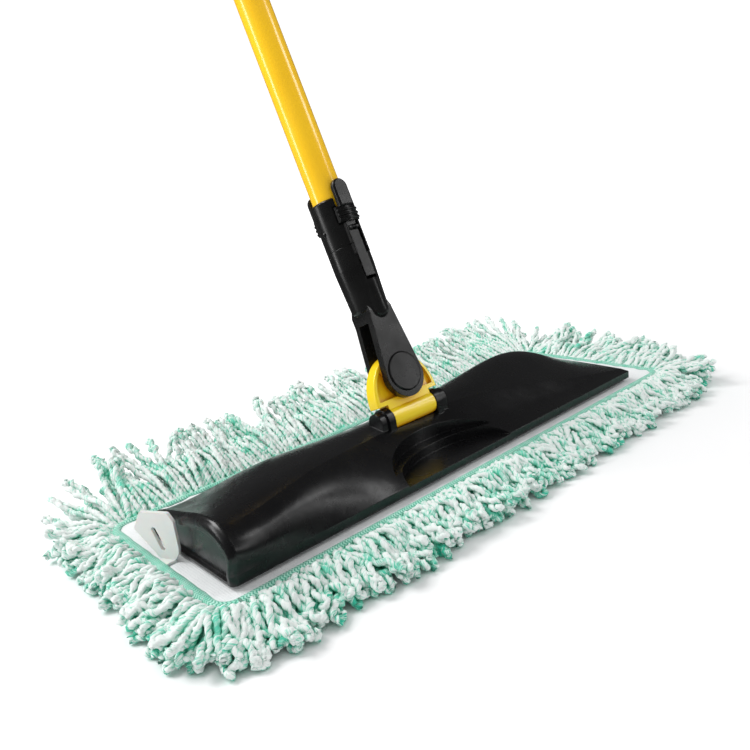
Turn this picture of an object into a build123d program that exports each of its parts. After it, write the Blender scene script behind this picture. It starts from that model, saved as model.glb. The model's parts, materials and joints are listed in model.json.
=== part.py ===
from build123d import *

import os

# Flat dust mop with a looped microfibre pad, a hinged plastic frame and an aluminium handle.
# Millimetres.  X runs along the frame, Y across it (front is -Y), Z up from the floor.
# The origin is on the floor, under the middle of the pad.

os.makedirs("parts", exist_ok=True)

# ---- cutters ---------------------------------------------------------------------------
# A cutter passes the face it opens by PASS, and REACH is long enough to go right through.
PASS = 1.0
REACH = 60.0

# ---- pad -------------------------------------------------------------------------------
SEAM_LENGTH = 456.0
SEAM_WIDTH = 146.0
PAD_CORNER = 10.0
PAD_TOP = 18.0
PILE_HEIGHT = 10.0
BACKING_THICKNESS = 1.5
BINDING_WIDTH = 5.0
BINDING_BOTTOM = 8.0
BINDING_PROUD = 1.5
FRINGE_REACH = {"front": 42.0, "right": 66.0, "rear": 76.0, "left": 36.0}
FRINGE_TIP_HEIGHT = {"front": 9.0, "right": 24.0, "rear": 38.0, "left": 12.0}
FRINGE_ROOT_HEIGHT = 17.0
FRINGE_CORNER = 42.0
FRINGE_CEILING = 44.0

# ---- pull tab --------------------------------------------------------------------------
TAB_FOOT_X = -226.0
TAB_FOOT_Y = 5.5
TAB_TURN = 25.0
TAB_THICKNESS = 2.2
TAB_OUTLINE = [
    (2.0, 0.0), (11.0, 0.0), (15.5, 6.0), (16.5, 10.0),
    (16.5, 28.0), (13.0, 33.5), (-8.0, 32.5), (-15.5, 20.5),
]
TAB_CORNER = 2.0
TAB_SLOT = (16.0, 3.6)
TAB_SLOT_PLACE = (2.3, 15.0)
TAB_SLOT_SLANT = -70.0
TAB_SEWN = ((-227.6, -221.0), (-6.0, 5.0), (PAD_TOP, PAD_TOP + 1.6))

# ---- frame -----------------------------------------------------------------------------
FRAME_LIFT = 3.0
FRAME_BOTTOM = PAD_TOP + FRAME_LIFT
SKIRT_TOP = PAD_TOP + 9.0
FRONT_Y = -66.0
REAR_Y = 40.0
LEFT_X = -213.0
RIGHT_X = 195.0
WALL = 2.6
PLATE_THICKNESS = 2.2
HOLLOW_DROP = 1.0
PLATE_GAP = 0.2
HOOK_THICKNESS = FRAME_LIFT
HOOK_LENGTH = 384.0
HOOK_WIDTH = 26.0
HOOK_CORNER = 3.0
HOOK_MIDDLE_X = -9.0
HOOK_STRIPS = {"hook_strip_front": -44.0, "hook_strip_rear": 22.0}
# Above the shell's highest point, where its bosses and ribs are cut off by its outline.
SHELL_CEILING = PAD_TOP + 45.0
BOSS_PLACES = [(x, y) for x in (-185.0, -110.0, 95.0) for y in (-38.0, 16.0)] + [(165.0, 0.0)]
BOSS_RADIUS = 4.2
SCREW_RADIUS = 1.4
SCREW_LENGTH = 9.0
SCREW_HEAD_RADIUS = 3.0
SCREW_HEAD = 1.2
SCREW_SINK = 0.1
SCREW_SLOT = (4.2, 0.8, 1.2)
SCREW_HOLE_RADIUS = 1.7
SCREW_SEAT_RADIUS = 3.2
EAR_RIB_HALF = 1.2
EAR_RIB_Y = (FRONT_Y + 34.0, REAR_Y - 2.0)
# The end cap's outlines: distance out from the shell, share of the width, drop of the arch.
END_CAP_STEPS = [(0.0, 1.0, 0.0), (2.4, 0.985, 1.4), (4.0, 0.94, 6.0)]
END_CAP_RECESS = (4.0, 0.9, 8.5)
END_CAP_RECESS_DEPTH = 2.6
END_CAP_SILL = 2.0

# Cross-sections of the shell: X, front shoulder (Y, Z), crease (Y, Z), then the crown's
# points towards the rear, and how far the crease is rounded off.  Z is from the pad's top.
SECTIONS = [
    (-213.0, (-70.0, 25.0), (-55.0, 38.0), [(-12.0, 32.5), (18.0, 25.0), (36.0, 15.0)], 1.0),
    (-160.0, (-62.5, 22.5), (-46.0, 36.5), [(-10.0, 36.0), (20.0, 26.5), (36.0, 15.0)], 0.75),
    (-100.0, (-55.0, 19.0), (-32.0, 35.0), [(-6.0, 35.0), (20.0, 26.0), (36.0, 15.0)], 0.35),
    (-40.0, (-50.0, 16.0), (-20.0, 30.5), [(-6.0, 32.0), (20.0, 24.0), (36.0, 14.0)], 0.0),
    (20.0, (-50.0, 15.0), (-20.0, 29.5), [(-6.0, 32.0), (20.0, 26.0), (36.0, 14.0)], 0.0),
    (80.0, (-54.0, 12.0), (-32.0, 25.0), [(-8.0, 32.0), (20.0, 31.5), (36.0, 15.0)], 0.0),
    (135.0, (-57.0, 11.0), (-45.0, 17.0), [(-12.0, 27.5), (20.0, 32.5), (36.0, 15.0)], 0.0),
    (170.0, (-60.0, 10.2), (-53.0, 12.6), [(-12.0, 19.0), (20.0, 21.0), (36.0, 12.5)], 0.0),
    (195.0, (-62.0, 9.6), (-58.0, 10.2), [(-12.0, 11.0), (20.0, 11.0), (36.0, 10.2)], 0.0),
]

# ---- scoop in the front edge -----------------------------------------------------------
SCOOP_X = -26.0
SCOOP_OUTER = (58.0, 36.0)
SCOOP_INNER = (53.0, 27.0)
SCOOP_LEDGE = PAD_TOP + 15.0
SCOOP_FLOOR = PAD_TOP + 8.0

# ---- hinge between frame and yoke ------------------------------------------------------
HINGE_X = -26.0
HINGE_Y = -15.0
HINGE_Z = PAD_TOP + 35.5
EAR_GAP = 43.0
EAR_THICKNESS = 12.0
EAR_RADIUS = 9.0
EAR_STEP = 1.5
EAR_FOOT = PAD_TOP + 18.0
EAR_FLARE = 1.0
PIN_RADIUS = 3.0
PIN_BLIND = 3.0
PLUG_RADIUS = 5.0
PLUG_DEPTH = 2.0
PLUG_BEVEL = 0.5
BUSH_RADIUS = 4.6
BUSH_LENGTH = 12.0
RUNNING_FIT = 0.05
SIDE_GAP = 0.4
BARREL_RADIUS = 8.5
BARREL_ROOM = BARREL_RADIUS + 1.0
PIN_SPAN = (
    HINGE_X - EAR_GAP / 2 - EAR_THICKNESS + PIN_BLIND,
    HINGE_X + EAR_GAP / 2 + EAR_THICKNESS - PLUG_DEPTH,
)

# ---- yoke ------------------------------------------------------------------------------
YOKE_PITCH = -21.5
NECK_WIDTH = 42.0
NECK_DEPTH = 11.0
FAN_BASE = 10.0
FAN_HALF_WIDTH = 30.0
FAN_HEIGHT = 35.0
FAN_THICKNESS = 11.0
FAN_WEB = 5.0
FAN_RIM = 3.4
PIVOT_HEIGHT = 29.0
PIVOT_BOSS = 10.5
FAN_ROUNDING = 1.2
FAN_RIB_LEANS = (-32.0, 0.0, 32.0)
FAN_RIB_WIDTH = 2.4
FAN_RIB_LENGTH = 30.0
PIN_ROOM = 0.3

# ---- fork, its bolt and caps -----------------------------------------------------------
CHEEK_GAP = FAN_THICKNESS + 0.8
CHEEK_THICKNESS = 5.8
CHEEK_RADIUS = 17.2
CHEEK_DROP = 2.0
SHANK_WIDTH = 21.5
FORK_DEPTH = CHEEK_GAP + 2 * CHEEK_THICKNESS
SLOT_TOP = 42.0
TAPER_TOP = 48.0
SHANK_TOP = 50.0
BODY_BOTTOM = 50.0
BODY_RADIUS = 14.0
BODY_ROUNDING = 3.0
CHEEK_BEVEL = 1.2
TRANSITION = 14.0
TRANSITION_SHARE = 0.7
SOCKET_BOTTOM = 84.0
SOCKET_TOP = 100.0
SOCKET_RADIUS = 15.6
SPIGOT_BOTTOM = 66.0
SPIGOT_RADIUS = 11.6
SPIGOT_WALL = 3.2
SPIGOT_ROOM = 0.3
BOLT_RADIUS = 4.0
BOLT_HEAD_RADIUS = 7.5
BOLT_HEAD = 2.6
CAP_RADIUS = 14.6
CAP_THICKNESS = 1.8
CAP_RECESS = 0.8
CAP_ROOM = 0.2
CAP_BEVEL = 0.8
WASHER_RADIUS = 8.5
WASHER_THICKNESS = 0.9
WASHER_SEAT = 0.6

# ---- coupler and release latches -------------------------------------------------------
COUPLER_GAP = 0.4
COUPLER_TOP = 137.0
COUPLER_BEVEL = 1.2
LATCH_PIVOT = 112.0
LATCH_PIVOT_OUT = 15.5
LATCH_PIN_RADIUS = 1.0
LATCH_BOSS_RADIUS = 1.9
LATCH_WIDTH = 9.0
LATCH_INNER = 13.9
LATCH_OUTER = 15.5
LATCH_BOTTOM = 74.5
LATCH_TOP = 120.0
LATCH_HOOK = 1.6
LATCH_HOOK_TOP = 90.0
LATCH_BED = 13.1
LATCH_ROOM = 1.2
PAD_RANGE = (117.0, 129.0)
PAD_RADII = (15.9, 18.0)
PAD_HALF_WIDTH = 9.0
PAD_BED_RADIUS = 14.4
RIBS = (118.2, 121.4, 124.6)
RIB_HEIGHT = 1.8
RIB_RADIUS = 19.0
RIB_BEVEL = 0.5
THUMB_EAR_TOP = 149.0
THUMB_EAR_WIDTH = 13.0
THUMB_EAR_RANGE = (15.5, 19.4)
THUMB_EAR_ROUNDING = 1.6
SPRING_GAP = 1.8
SPRING_HALF = 1.5
SPRING_RADIUS = LATCH_BOSS_RADIUS - 0.1
SPRING_BORE = LATCH_PIN_RADIUS + 0.15
COIL_GROOVES = (-0.9, 0.0, 0.9)
COIL_GROOVE_HALF = 0.1
COIL_GROOVE_DEPTH = 0.4
WINDOW = (72.0, 92.0)
HOOD_RADIUS = 7.4
HOOD_OUT = 9.4
HOOD_TIP = 42.0
HOOD_TOP = SOCKET_TOP - 8.0
RAIL_WIDTH = 1.6
RAIL_GAP = 0.4
RAIL_OUT = 17.2
RAIL_BEVEL = 0.4
PIN_COVER = 0.6

# ---- handle ----------------------------------------------------------------------------
TUBE_RADIUS = 12.7
TUBE_WALL = 1.2
TUBE_BOTTOM = 107.0
TUBE_TOP = 1420.0
RIVET_HEIGHT = 114.0
RIVET_RADIUS = 1.2
RIVET_HEAD_RADIUS = 2.1
RIVET_HEAD = 0.8
GRIP_BOTTOM = 1280.0
GRIP_RADIUS = 15.7
GRIP_ROUNDING = 1.5
GRIP_GROOVES = 9
GRIP_GROOVE_START = 14.0
GRIP_GROOVE_PITCH = 12.0
GRIP_GROOVE_WIDTH = 2.0
GRIP_GROOVE_DEPTH = 0.8
HANG_PLUG_LENGTH = 22.0
HANG_FLANGE = 6.0
HANG_EYE_BASE = 4.0
HANG_EYE_WIDTHS = (14.7, 12.7)
HANG_EYE_HALF = 5.0
HANG_HOLE_HEIGHT = 1443.0
HANG_HOLE_RADIUS = 4.5

# ---- placements ------------------------------------------------------------------------
YOKE_PLACE = Location((HINGE_X, HINGE_Y, HINGE_Z), (YOKE_PITCH, 0, 0))
HANDLE_PLACE = YOKE_PLACE * Location((0, 0, PIVOT_HEIGHT))


def save(node, part):
    """Write one named piece, or a group of like pieces, as a STEP file."""
    solids = part.solids() if hasattr(part, "solids") else part
    shape = solids[0] if len(solids) == 1 else Compound(children=list(solids))
    export_step(shape, f"parts/{node}.step")


def rounded_slab(length, width, radius, bottom, top):
    """A flat slab with rounded corners, centred on the origin."""
    return Pos(0, 0, bottom) * extrude(RectangleRounded(length, width, radius), top - bottom)


def along_x(radius, x_start, x_end, y=0.0, z=0.0):
    """A round bar along X."""
    middle = (x_start + x_end) / 2
    return Pos(middle, y, z) * Rot(0, 90, 0) * Cylinder(radius, x_end - x_start)


def along_y(radius, y_start, y_end, x=0.0, z=0.0):
    """A round bar along Y."""
    middle = (y_start + y_end) / 2
    return Pos(x, middle, z) * Rot(90, 0, 0) * Cylinder(radius, y_end - y_start)


def upright(radius, bottom, top, x=0.0, y=0.0):
    """A round bar along Z."""
    return Pos(x, y, (bottom + top) / 2) * Cylinder(radius, top - bottom)


def block(x_range, y_range, z_range):
    """A box given by its low and high limits."""
    lows = [limits[0] for limits in (x_range, y_range, z_range)]
    sizes = [limits[1] - limits[0] for limits in (x_range, y_range, z_range)]
    return Pos(*lows) * Box(*sizes, align=(Align.MIN, Align.MIN, Align.MIN))


# ---- the pad ---------------------------------------------------------------------------
def make_pad():
    """Pile, core, backing and edge binding, stacked from the floor up."""
    backing_bottom = PAD_TOP - BACKING_THICKNESS
    pile = rounded_slab(SEAM_LENGTH, SEAM_WIDTH, PAD_CORNER, 0, PILE_HEIGHT)
    core = rounded_slab(SEAM_LENGTH, SEAM_WIDTH, PAD_CORNER, PILE_HEIGHT, backing_bottom)
    backing = rounded_slab(SEAM_LENGTH, SEAM_WIDTH, PAD_CORNER, backing_bottom, PAD_TOP)
    bound_length = SEAM_LENGTH + 2 * BINDING_WIDTH
    bound_width = SEAM_WIDTH + 2 * BINDING_WIDTH
    bound_corner = PAD_CORNER + BINDING_WIDTH
    binding_top = PAD_TOP + BINDING_PROUD
    binding = rounded_slab(bound_length, bound_width, bound_corner, BINDING_BOTTOM, binding_top)
    binding -= rounded_slab(SEAM_LENGTH, SEAM_WIDTH, PAD_CORNER, 0, binding_top + PASS)
    save("pad_pile", pile)
    save("pad_core", core)
    save("pad_backing", backing)
    save("pad_binding", binding)


def make_fringe():
    """Four soft skirts of yarn loops that droop from the binding to the floor."""
    near_x = SEAM_LENGTH / 2 + BINDING_WIDTH
    near_y = SEAM_WIDTH / 2 + BINDING_WIDTH
    left, right = -near_x - FRINGE_REACH["left"], near_x + FRINGE_REACH["right"]
    front, rear = -near_y - FRINGE_REACH["front"], near_y + FRINGE_REACH["rear"]
    ring = extrude(RectangleRounded(right - left, rear - front, FRINGE_CORNER), FRINGE_CEILING)
    ring = Pos((left + right) / 2, (front + rear) / 2, 0) * ring
    bound_corner = PAD_CORNER + BINDING_WIDTH
    bound = rounded_slab(2 * near_x, 2 * near_y, bound_corner, -PASS, FRINGE_CEILING + PASS)
    ring -= bound
    inner = [(-near_x, -near_y), (near_x, -near_y), (near_x, near_y), (-near_x, near_y)]
    outer = [(left, front), (right, front), (right, rear), (left, rear)]
    for index, (side, reach) in enumerate(FRINGE_REACH.items()):
        after = (index + 1) % len(inner)
        corners = (inner[index], outer[index], outer[after], inner[after])
        plan = make_face(Polyline(*corners, close=True))
        wedge = extrude(plan, FRINGE_CEILING)
        near = near_y if side in ("front", "rear") else near_x
        above = make_face(
            Polyline(
                (near, FRINGE_ROOT_HEIGHT),
                (near + reach, FRINGE_TIP_HEIGHT[side]),
                (near + reach, FRINGE_CEILING),
                (near, FRINGE_CEILING),
                close=True,
            )
        )
        slope = extrude(Plane.XZ * above, 2 * right, both=True)
        wedge -= Rot(0, 0, 90 * index - 90) * slope
        save(f"fringe_{side}", wedge & ring)


def make_tab():
    """The pull tab at the left end: a tag that stands on its sewn foot, with a slanted slot."""
    outline = make_face(Polyline(*TAB_OUTLINE, close=True))
    outline = fillet(outline.vertices(), TAB_CORNER)
    outline -= Pos(*TAB_SLOT_PLACE) * Rot(0, 0, TAB_SLOT_SLANT) * SlotOverall(*TAB_SLOT)
    tag = extrude(Plane.XZ * outline, TAB_THICKNESS / 2, both=True)
    tag = Location((TAB_FOOT_X, TAB_FOOT_Y, PAD_TOP), (0, 0, TAB_TURN - 90)) * tag
    save("pull_tab", tag + block(*TAB_SEWN))


# ---- the frame -------------------------------------------------------------------------
def heading(start, end):
    """Unit direction from one YZ point to another."""
    return (Vector(*end) - Vector(*start)).normalized()


def arch(x, edges, points, softness):
    """A closed section: straight sides, a front slope up to the crease, a crown to the rear."""
    (front, rear), (base, edge_top) = edges
    shoulder, crease = points[:2]
    rise = heading(shoulder, crease)
    run = heading(crease, points[2])
    shared = (rise + run).normalized() * softness
    front_end = rise * (1 - softness) + shared
    crown_start = run * (1 - softness) + shared
    foot, toe = (front, edge_top), (rear, edge_top)
    outline = [
        Line((front, base), foot),
        Spline(foot, *points[:2], tangents=[heading(foot, shoulder), front_end]),
        Spline(*points[1:], toe, tangents=[crown_start, heading(points[-1], toe)]),
        Line(toe, (rear, base)),
        Line((rear, base), (front, base)),
    ]
    return Plane.YZ.offset(x) * make_face(outline)


def shell_section(station, inset=0.0, shift=0.0):
    """One closed cross-section of the shell, drawn inwards by inset and moved along X."""
    x, shoulder, crease, crown, softness = station
    middle_y = (FRONT_Y + REAR_Y) / 2

    def drawn(point):
        towards = inset if point[0] < middle_y else -inset
        share = min(1.0, abs(point[0] - middle_y) / (middle_y - FRONT_Y))
        return (point[0] + towards * share, point[1] + PAD_TOP - inset)

    points = [drawn(point) for point in (shoulder, crease, *crown)]
    base = FRAME_BOTTOM - (HOLLOW_DROP if inset else 0.0)
    edges = ((FRONT_Y + inset, REAR_Y - inset), (base, SKIRT_TOP - inset))
    return arch(x + shift, edges, points, softness)


def scoop_step(radii, grow, floor):
    """Half-oval cutter that opens through the front edge above a floor."""
    oval = extrude(Ellipse(radii[0] + grow, radii[1] + grow), REACH)
    return Pos(SCOOP_X, FRONT_Y, floor - grow) * oval


def make_ear(side):
    """One hinge ear, rounded over the pin and stepped down on its outer half."""
    inner_x = HINGE_X + side * EAR_GAP / 2
    middle_x = inner_x + side * EAR_THICKNESS / 2
    outer_x = inner_x + side * EAR_THICKNESS
    ear = None
    for start, end, radius in (
        (inner_x, middle_x, EAR_RADIUS),
        (middle_x, outer_x, EAR_RADIUS - EAR_STEP),
    ):
        low, high = min(start, end), max(start, end)
        lobe = along_x(radius, low, high, HINGE_Y, HINGE_Z)
        spread = radius + EAR_FLARE
        web = make_face(
            Polyline(
                (HINGE_Y - radius, HINGE_Z),
                (HINGE_Y + radius, HINGE_Z),
                (HINGE_Y + spread, EAR_FOOT),
                (HINGE_Y - spread, EAR_FOOT),
                close=True,
            )
        )
        lobe += extrude(Plane.YZ.offset(low) * web, high - low)
        ear = lobe if ear is None else ear + lobe
    return ear


def make_frame():
    """The moulded shell, its end cap, base plate, hook strips and screws."""
    outer = loft([shell_section(station) for station in SECTIONS])
    scoop = scoop_step(SCOOP_OUTER, 0, SCOOP_LEDGE) + scoop_step(SCOOP_INNER, 0, SCOOP_FLOOR)
    outer -= scoop
    gap_start, gap_end = HINGE_X - EAR_GAP / 2, HINGE_X + EAR_GAP / 2

    last = len(SECTIONS) - 1
    shifts = [WALL if i == 0 else -WALL if i == last else 0.0 for i in range(last + 1)]
    hollow = loft([shell_section(s, WALL, shift) for s, shift in zip(SECTIONS, shifts)])
    hollow -= scoop_step(SCOOP_OUTER, WALL, SCOOP_LEDGE)
    hollow -= scoop_step(SCOOP_INNER, WALL, SCOOP_FLOOR)
    hollow -= along_x(BARREL_ROOM + WALL, gap_start - WALL, gap_end + WALL, HINGE_Y, HINGE_Z)
    shell = outer - hollow

    plate_top = FRAME_BOTTOM + PLATE_THICKNESS
    for x, y in BOSS_PLACES:
        shell += upright(BOSS_RADIUS, plate_top, SHELL_CEILING, x, y) & outer
    for side in (-1, 1):
        rib_x = HINGE_X + side * (EAR_GAP + EAR_THICKNESS) / 2
        rib_span = (rib_x - EAR_RIB_HALF, rib_x + EAR_RIB_HALF)
        rib = block(rib_span, EAR_RIB_Y, (plate_top, SHELL_CEILING))
        shell += rib & outer
    for side in (-1, 1):
        shell += make_ear(side)
    shell -= along_x(BARREL_ROOM, gap_start, gap_end, HINGE_Y, HINGE_Z)
    shell -= along_x(PIN_RADIUS, *PIN_SPAN, HINGE_Y, HINGE_Z)
    shell -= along_x(PLUG_RADIUS, PIN_SPAN[1], PIN_SPAN[1] + PLUG_DEPTH, HINGE_Y, HINGE_Z)
    for x, y in BOSS_PLACES:
        shell -= upright(SCREW_RADIUS, FRAME_BOTTOM, FRAME_BOTTOM + SCREW_LENGTH, x, y)
    save("frame_shell", shell)

    inside = WALL + PLATE_GAP
    plate = block(
        (LEFT_X + inside, RIGHT_X - inside),
        (FRONT_Y + inside, REAR_Y - inside),
        (FRAME_BOTTOM, plate_top),
    )
    screws = []
    for x, y in BOSS_PLACES:
        head_top = FRAME_BOTTOM + SCREW_HEAD
        plate -= upright(SCREW_HOLE_RADIUS, FRAME_BOTTOM, plate_top, x, y)
        plate -= upright(SCREW_SEAT_RADIUS, FRAME_BOTTOM, head_top, x, y)
        screw = upright(SCREW_HEAD_RADIUS, FRAME_BOTTOM + SCREW_SINK, head_top, x, y)
        screw += upright(SCREW_RADIUS, head_top, FRAME_BOTTOM + SCREW_LENGTH, x, y)
        slot = Pos(x, y, FRAME_BOTTOM) * Box(*SCREW_SLOT)
        screws += (screw - slot).solids()
    save("base_plate", plate)
    save("base_screws", screws)

    hook_bottom = FRAME_BOTTOM - HOOK_THICKNESS
    hook = rounded_slab(HOOK_LENGTH, HOOK_WIDTH, HOOK_CORNER, hook_bottom, FRAME_BOTTOM)
    for name, y in HOOK_STRIPS.items():
        save(name, Pos(HOOK_MIDDLE_X, y, 0) * hook)


def end_outline(out, share, drop):
    """The left end's outline moved out, narrowed to a share of its width and lowered."""
    x, shoulder, crease, crown, softness = SECTIONS[0]
    middle = (FRONT_Y + REAR_Y) / 2
    points = [
        (middle + (y - middle) * share, PAD_TOP + z - drop * z / crease[1])
        for y, z in (shoulder, crease, *crown)
    ]
    sides = (middle + (FRONT_Y - middle) * share, middle + (REAR_Y - middle) * share)
    return arch(x - out, (sides, (FRAME_BOTTOM, SKIRT_TOP)), points, softness)


def make_end_cap():
    """The end of the arched shell: a rounded rim round a recessed wall."""
    cap = loft([end_outline(*step) for step in END_CAP_STEPS])
    recess = extrude(end_outline(*END_CAP_RECESS), END_CAP_RECESS_DEPTH, both=True)
    sill = (FRAME_BOTTOM - PASS, FRAME_BOTTOM + END_CAP_SILL)
    recess -= block((LEFT_X - REACH, LEFT_X + REACH), (FRONT_Y, REAR_Y), sill)
    save("end_cap_left", cap - recess)


def make_hinge():
    """The steel hinge pin, blind in the left ear, and the plug that keeps it in the right one."""
    save("hinge_pin", along_x(PIN_RADIUS, *PIN_SPAN, HINGE_Y, HINGE_Z))
    plug = along_x(PLUG_RADIUS, PIN_SPAN[1], PIN_SPAN[1] + PLUG_DEPTH, HINGE_Y, HINGE_Z)
    save("hinge_plug", chamfer(plug.edges().sort_by(Axis.X)[-1], PLUG_BEVEL))


# ---- the yoke --------------------------------------------------------------------------
def fan_face(half_width, height, base):
    """Half-oval outline standing on its straight edge, in the XZ plane."""
    oval = Pos(0, base) * Ellipse(half_width, height)
    return Plane.XZ * (oval & (Pos(0, base + height) * Rectangle(2 * half_width, 2 * height)))


def make_yoke():
    """Barrel, neck and fan plate of the yoke, with its bushes and washers."""
    half_barrel = EAR_GAP / 2 - SIDE_GAP
    yoke = along_x(BARREL_RADIUS, -half_barrel, half_barrel)
    neck_span = (-NECK_WIDTH / 2, NECK_WIDTH / 2)
    yoke += block(neck_span, (-NECK_DEPTH / 2, NECK_DEPTH / 2), (0, FAN_BASE + FAN_RIM))
    fan = extrude(fan_face(FAN_HALF_WIDTH, FAN_HEIGHT, FAN_BASE), FAN_THICKNESS / 2, both=True)
    fan = fillet(fan.edges().filter_by(GeomType.ELLIPSE), FAN_ROUNDING)
    boss = along_y(PIVOT_BOSS, -FAN_THICKNESS / 2, FAN_THICKNESS / 2, 0, PIVOT_HEIGHT)
    inside = fan_face(FAN_HALF_WIDTH - FAN_RIM, FAN_HEIGHT - 2 * FAN_RIM, FAN_BASE + FAN_RIM)
    pocket = extrude(inside, FAN_THICKNESS, both=True)
    pocket -= block((-REACH, REACH), (-FAN_WEB / 2, FAN_WEB / 2), (0, REACH))
    rib = Pos(0, 0, FAN_RIB_LENGTH / 2) * Box(FAN_RIB_WIDTH, FAN_THICKNESS, FAN_RIB_LENGTH)
    for lean in FAN_RIB_LEANS:
        pocket -= Pos(0, 0, FAN_BASE) * Rot(0, lean, 0) * rib
    fan -= pocket
    fan += boss
    yoke += fan
    yoke -= along_x(PIN_RADIUS + PIN_ROOM, -half_barrel, half_barrel)
    bushes = []
    for side in (-1, 1):
        ends = sorted((side * half_barrel, side * (half_barrel - BUSH_LENGTH)))
        yoke -= along_x(BUSH_RADIUS, *ends)
        bush = along_x(BUSH_RADIUS, *ends) - along_x(PIN_RADIUS + RUNNING_FIT, *ends)
        bushes += (YOKE_PLACE * bush).solids()
    yoke -= along_y(BOLT_RADIUS + RUNNING_FIT, -FAN_THICKNESS, FAN_THICKNESS, 0, PIVOT_HEIGHT)

    washers = []
    for side in (-1, 1):
        seat = side * (FAN_THICKNESS / 2 - WASHER_SEAT)
        ends = sorted((seat, seat + side * WASHER_THICKNESS))
        yoke -= along_y(WASHER_RADIUS, *ends, 0, PIVOT_HEIGHT)
        washer = along_y(WASHER_RADIUS, *ends, 0, PIVOT_HEIGHT)
        washer -= along_y(BOLT_RADIUS + RUNNING_FIT, *ends, 0, PIVOT_HEIGHT)
        washers += (YOKE_PLACE * washer).solids()
    save("yoke", YOKE_PLACE * yoke)
    save("yoke_bushes", bushes)
    save("pivot_washers", washers)


# ---- the fork at the foot of the handle --------------------------------------------------
def cheek_outline():
    """Round end over the pivot, tapering up to the shank."""
    taper = make_face(
        Polyline(
            (-CHEEK_RADIUS, -CHEEK_DROP),
            (CHEEK_RADIUS, -CHEEK_DROP),
            (SHANK_WIDTH / 2, TAPER_TOP),
            (SHANK_WIDTH / 2, SHANK_TOP),
            (-SHANK_WIDTH / 2, SHANK_TOP),
            (-SHANK_WIDTH / 2, TAPER_TOP),
            close=True,
        )
    )
    return Plane.XZ * (taper + Pos(0, -CHEEK_DROP) * Circle(CHEEK_RADIUS))


def make_fork():
    """Fork that straddles the yoke's fan, with the socket for the coupler above it."""
    half_depth = FORK_DEPTH / 2
    fork = extrude(cheek_outline(), half_depth, both=True)
    for face in (fork.faces().sort_by(Axis.Y)[0], fork.faces().sort_by(Axis.Y)[-1]):
        rim = [edge for edge in face.edges() if edge.center().Z < SHANK_TOP - CHEEK_BEVEL]
        fork = chamfer(rim, CHEEK_BEVEL)
    fork += loft(
        [
            Plane.XY.offset(SHANK_TOP + rise) * Rectangle(SHANK_WIDTH * share, FORK_DEPTH * share)
            for rise, share in ((0, 1), (TRANSITION, TRANSITION_SHARE))
        ]
    )
    height = SOCKET_BOTTOM - BODY_BOTTOM
    body = Cone(BODY_RADIUS, SOCKET_RADIUS, height, align=(Align.CENTER, Align.CENTER, Align.MIN))
    body = fillet(body.edges().sort_by(Axis.Z)[0], BODY_ROUNDING)
    fork += Pos(0, 0, BODY_BOTTOM) * body
    fork += upright(SOCKET_RADIUS, SOCKET_BOTTOM, SOCKET_TOP)
    for side in (-1, 1):
        tip = HOOD_TIP + HOOD_RADIUS
        hood = upright(HOOD_RADIUS, tip, HOOD_TOP, 0, side * HOOD_OUT)
        fork += hood + Pos(0, side * HOOD_OUT, tip) * Sphere(HOOD_RADIUS)
    half_gap = CHEEK_GAP / 2
    fork -= block((-REACH, REACH), (-half_gap, half_gap), (-REACH, SLOT_TOP))
    socket_span = (SPIGOT_BOTTOM - SPIGOT_ROOM, SOCKET_TOP + PASS)
    socket = upright(SPIGOT_RADIUS + RUNNING_FIT, *socket_span)
    fork -= socket
    fork -= along_y(BOLT_RADIUS, -half_depth, half_depth)
    for side in (-1, 1):
        shelf = half_depth - CAP_RECESS
        recess = sorted((side * shelf, side * (half_depth + PASS)))
        fork -= along_y(CAP_RADIUS + CAP_ROOM, *recess)
        seat = shelf - BOLT_HEAD
        fork -= along_y(BOLT_HEAD_RADIUS, *sorted((side * seat, side * shelf)))
        bed_half = LATCH_WIDTH / 2 + RAIL_GAP
        bed_span = (-bed_half, bed_half)
        window = block(bed_span, (SPIGOT_RADIUS - SPIGOT_WALL, REACH), WINDOW)
        notch = block(bed_span, (LATCH_BED, REACH), (WINDOW[1] - PASS, SOCKET_TOP + PASS))
        fork -= Rot(0, 0, 90 - 90 * side) * (window + notch)
    fork += rails(WINDOW[1], SOCKET_TOP - COUPLER_GAP / 2)
    fork -= socket
    save("fork", HANDLE_PLACE * fork)


def make_pivot():
    """Bolt, nut and round covers of the side-swing pivot."""
    shelf = FORK_DEPTH / 2 - CAP_RECESS
    seat = shelf - BOLT_HEAD
    bolt = along_y(BOLT_RADIUS, -seat, seat)
    bolt += along_y(BOLT_HEAD_RADIUS, -shelf, -seat)
    save("pivot_bolt", HANDLE_PLACE * bolt)
    hexagon = Plane.XZ * RegularPolygon(BOLT_HEAD_RADIUS, 6)
    nut = Pos(0, seat + BOLT_HEAD, 0) * extrude(hexagon, BOLT_HEAD)
    save("pivot_nut", HANDLE_PLACE * nut)
    for name, side in (("pivot_cap_front", -1), ("pivot_cap_rear", 1)):
        outer = shelf + CAP_THICKNESS
        cap = along_y(CAP_RADIUS, *sorted((side * shelf, side * outer)))
        rim_edges = cap.edges().sort_by(Axis.Y)
        cap = chamfer(rim_edges[0] if side < 0 else rim_edges[-1], CAP_BEVEL)
        save(name, HANDLE_PLACE * cap)


# ---- coupler and latches ---------------------------------------------------------------
def rails(low, high):
    """Pairs of raised rails, front and rear, on either side of the latches."""
    inner = LATCH_WIDTH / 2 + RAIL_GAP
    rail = block((inner, inner + RAIL_WIDTH), (SPIGOT_RADIUS + PASS, RAIL_OUT), (low, high))
    rail = chamfer(rail.edges().filter_by(Axis.Z).group_by(Axis.Y)[-1], RAIL_BEVEL)
    pair = rail + mirror(rail, Plane.YZ)
    return pair + Rot(0, 0, 180) * pair


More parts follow.
